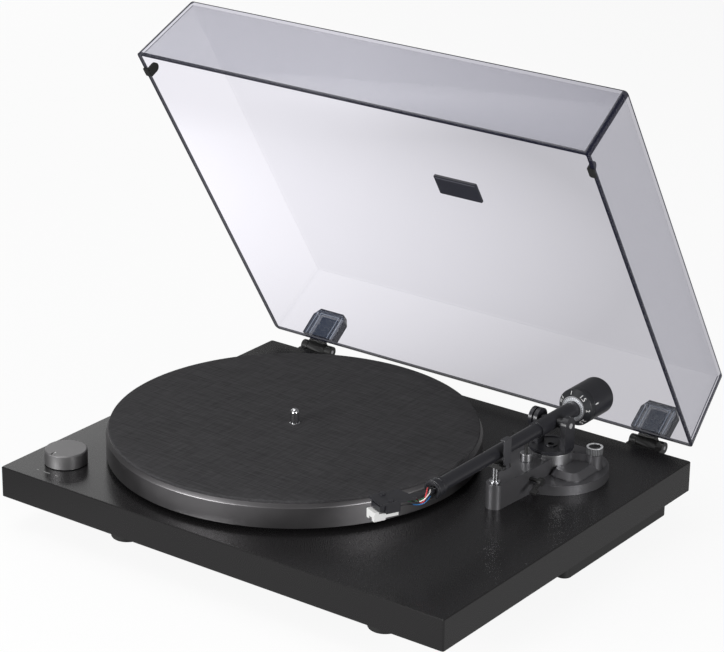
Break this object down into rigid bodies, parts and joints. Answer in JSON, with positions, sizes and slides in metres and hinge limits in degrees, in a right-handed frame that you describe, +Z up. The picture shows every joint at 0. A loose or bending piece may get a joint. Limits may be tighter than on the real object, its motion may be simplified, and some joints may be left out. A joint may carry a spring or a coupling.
{
  "type": "record turntable",
  "caption": "Belt-driven record turntable with a straight tone arm, rotary speed knob and hinged clear smoked dust cover standing open.",
  "frame": {"origin": "centre of the whole part's box, on the surface that the feet stand on, with the dust cover open", "axes": "+X to the player's right, +Y to its back, +Z up; the platter and the arm turn about vertical axes"},
  "size_m": [0.43, 0.4072, 0.3877],
  "materials": {
    "plinth_black": "fibreboard with a satin black foil",
    "tray_black": "black, fine grain",
    "foot_rubber": "matte black",
    "zinc_screw": "zinc plated",
    "bearing_brass": "turned",
    "motor_steel": "satin",
    "board_green": "lacquered board",
    "socket_metal": "plated",
    "part_black": "black, fine grain",
    "arm_base_black": "dark grey, satin",
    "turret_silver": "satin silver",
    "rest_chrome": "polished",
    "platter_metal": "turned, satin",
    "mat_felt": "woven dark grey",
    "knob_black": "satin, knurled side",
    "cover_smoke": "clear smoked acrylic",
    "socket_clear": "clear, bluish",
    "badge_black": "bare black plate",
    "arm_black": "satin black",
    "tube_black": "gloss black",
    "shell_black": "satin black",
    "screw_black": "blackened",
    "stylus_white": "white, plain",
    "stylus_metal": "bare",
    "lead_colours": "white, red, blue and green sleeves",
    "weight_black": "satin black",
    "dial_black": "black with plain white numbers"
  },
  "bodies": {
    "base": {"plinth": "plinth_black", "bottom_pan": "tray_black", "pan_screws": "zinc_screw", "front_foot_blocks": "tray_black", "feet": "foot_rubber", "bearing_housing": "bearing_brass", "thrust_ball": "zinc_screw", "motor": "motor_steel", "motor_plate": "motor_steel", "motor_grommets": "foot_rubber", "motor_screws": "zinc_screw", "drive_belt": "foot_rubber", "circuit_board": "board_green", "board_screws": "zinc_screw", "phono_sockets": "socket_metal", "ground_post": "bearing_brass", "dc_inlet": "part_black", "switch_frame": "part_black", "speed_switch": "part_black", "hinge_brackets": "part_black", "hinge_pins": "zinc_screw", "hinge_screws": "zinc_screw", "arm_base": "arm_base_black", "arm_cover": "arm_base_black", "turret_collar": "turret_silver", "lift_housing": "turret_silver", "rest_post": "rest_chrome", "arm_rest": "part_black"},
    "platter": {"spindle": "rest_chrome", "sub_platter": "part_black", "platter": "platter_metal", "slip_mat": "mat_felt"},
    "pulley": {"motor_shaft": "motor_steel", "motor_pulley": "bearing_brass"},
    "knob": {"speed_knob": "knob_black", "knob_shaft": "rest_chrome"},
    "lid": {"dust_cover": "cover_smoke", "cover_sockets": "socket_clear", "hinge_leaves": "part_black", "cover_bumpers": "foot_rubber", "badge_plate": "badge_black"},
    "arm_yaw": {"yaw_post": "rest_chrome", "yoke": "arm_black", "pivot_screws": "rest_chrome"},
    "arm": {"pivot_housing": "arm_black", "arm_tube": "tube_black", "head_collar": "arm_black", "headshell": "shell_black", "headshell_screws": "screw_black", "cartridge_body": "shell_black", "stylus_holder": "stylus_white", "stylus_cantilever": "stylus_metal", "head_leads": "lead_colours"},
    "weight": {"counterweight": "weight_black"},
    "dial": {"tracking_dial": "dial_black"},
    "skate": {"anti_skate_knob": "knob_black"},
    "lever": {"cue_lever": "screw_black"},
    "lift": {"lift_piston": "screw_black"},
    "clip": {"arm_clip": "part_black"},
    "line": {"line_switch": "part_black"}
  },
  "joints": [
    {"name": "lid_hinge", "type": "hinge", "parent": "base", "child": "lid", "pos_m": [0, 0.15304, 0.0523], "axis": [-1, 0, 0], "range_deg": [-58.3, 0]},
    {"name": "platter_spin", "type": "hinge", "parent": "base", "child": "platter", "pos_m": [-0.0484, -0.03686, 0.0758], "axis": [0, 0, 1], "continuous": true},
    {"name": "pulley_spin", "type": "hinge", "parent": "base", "child": "pulley", "pos_m": [-0.1177, 0.03243, 0.064], "axis": [0, 0, 1], "continuous": true},
    {"name": "speed_select", "type": "hinge", "parent": "base", "child": "knob", "pos_m": [-0.1798, -0.16536, 0.058], "axis": [0, 0, 1], "range_deg": [-22, 22]},
    {"name": "arm_swing", "type": "hinge", "parent": "base", "child": "arm_yaw", "pos_m": [0.1372, 0.05564, 0.0748], "axis": [0, 0, -1], "range_deg": [0, 46]},
    {"name": "arm_lift", "type": "hinge", "parent": "arm_yaw", "child": "arm", "pos_m": [0.1372, 0.05564, 0.097], "axis": [-0.9999, -0.0105, 0], "range_deg": [-1.3, 4]},
    {"name": "weight_turn", "type": "hinge", "parent": "arm", "child": "weight", "pos_m": [0.1372, 0.05564, 0.097], "axis": [-0.0105, 0.9999, -0.0087], "range_deg": [-175, 175]},
    {"name": "dial_turn", "type": "hinge", "parent": "weight", "child": "dial", "pos_m": [0.1372, 0.05564, 0.097], "axis": [-0.0105, 0.9999, -0.0087], "range_deg": [-170, 170]},
    {"name": "skate_turn", "type": "hinge", "parent": "base", "child": "skate", "pos_m": [0.169, 0.06994, 0.074], "axis": [0, 0, 1], "range_deg": [0, 270]},
    {"name": "cue_turn", "type": "hinge", "parent": "base", "child": "lever", "pos_m": [0.1547, 0.01214, 0.065], "axis": [-1, 0, 0], "range_deg": [0, 60]},
    {"name": "lift_rise", "type": "slide", "parent": "base", "child": "lift", "axis": [0, 0, 1], "range_m": [0, 0.0015]},
    {"name": "clip_close", "type": "hinge", "parent": "base", "child": "clip", "pos_m": [0.14703, -0.02406, 0.0882], "axis": [0, -1, 0], "range_deg": [0, 15]},
    {"name": "line_slide", "type": "slide", "parent": "base", "child": "line", "axis": [1, 0, 0], "range_m": [0, 0.004]}
  ],
  "couplings": [
    {"joint": "pulley_spin", "follows": "platter_spin", "ratio": 10.333},
    {"joint": "cue_turn", "follows": "lift_rise", "rad_per_m": 698.13}
  ]
}
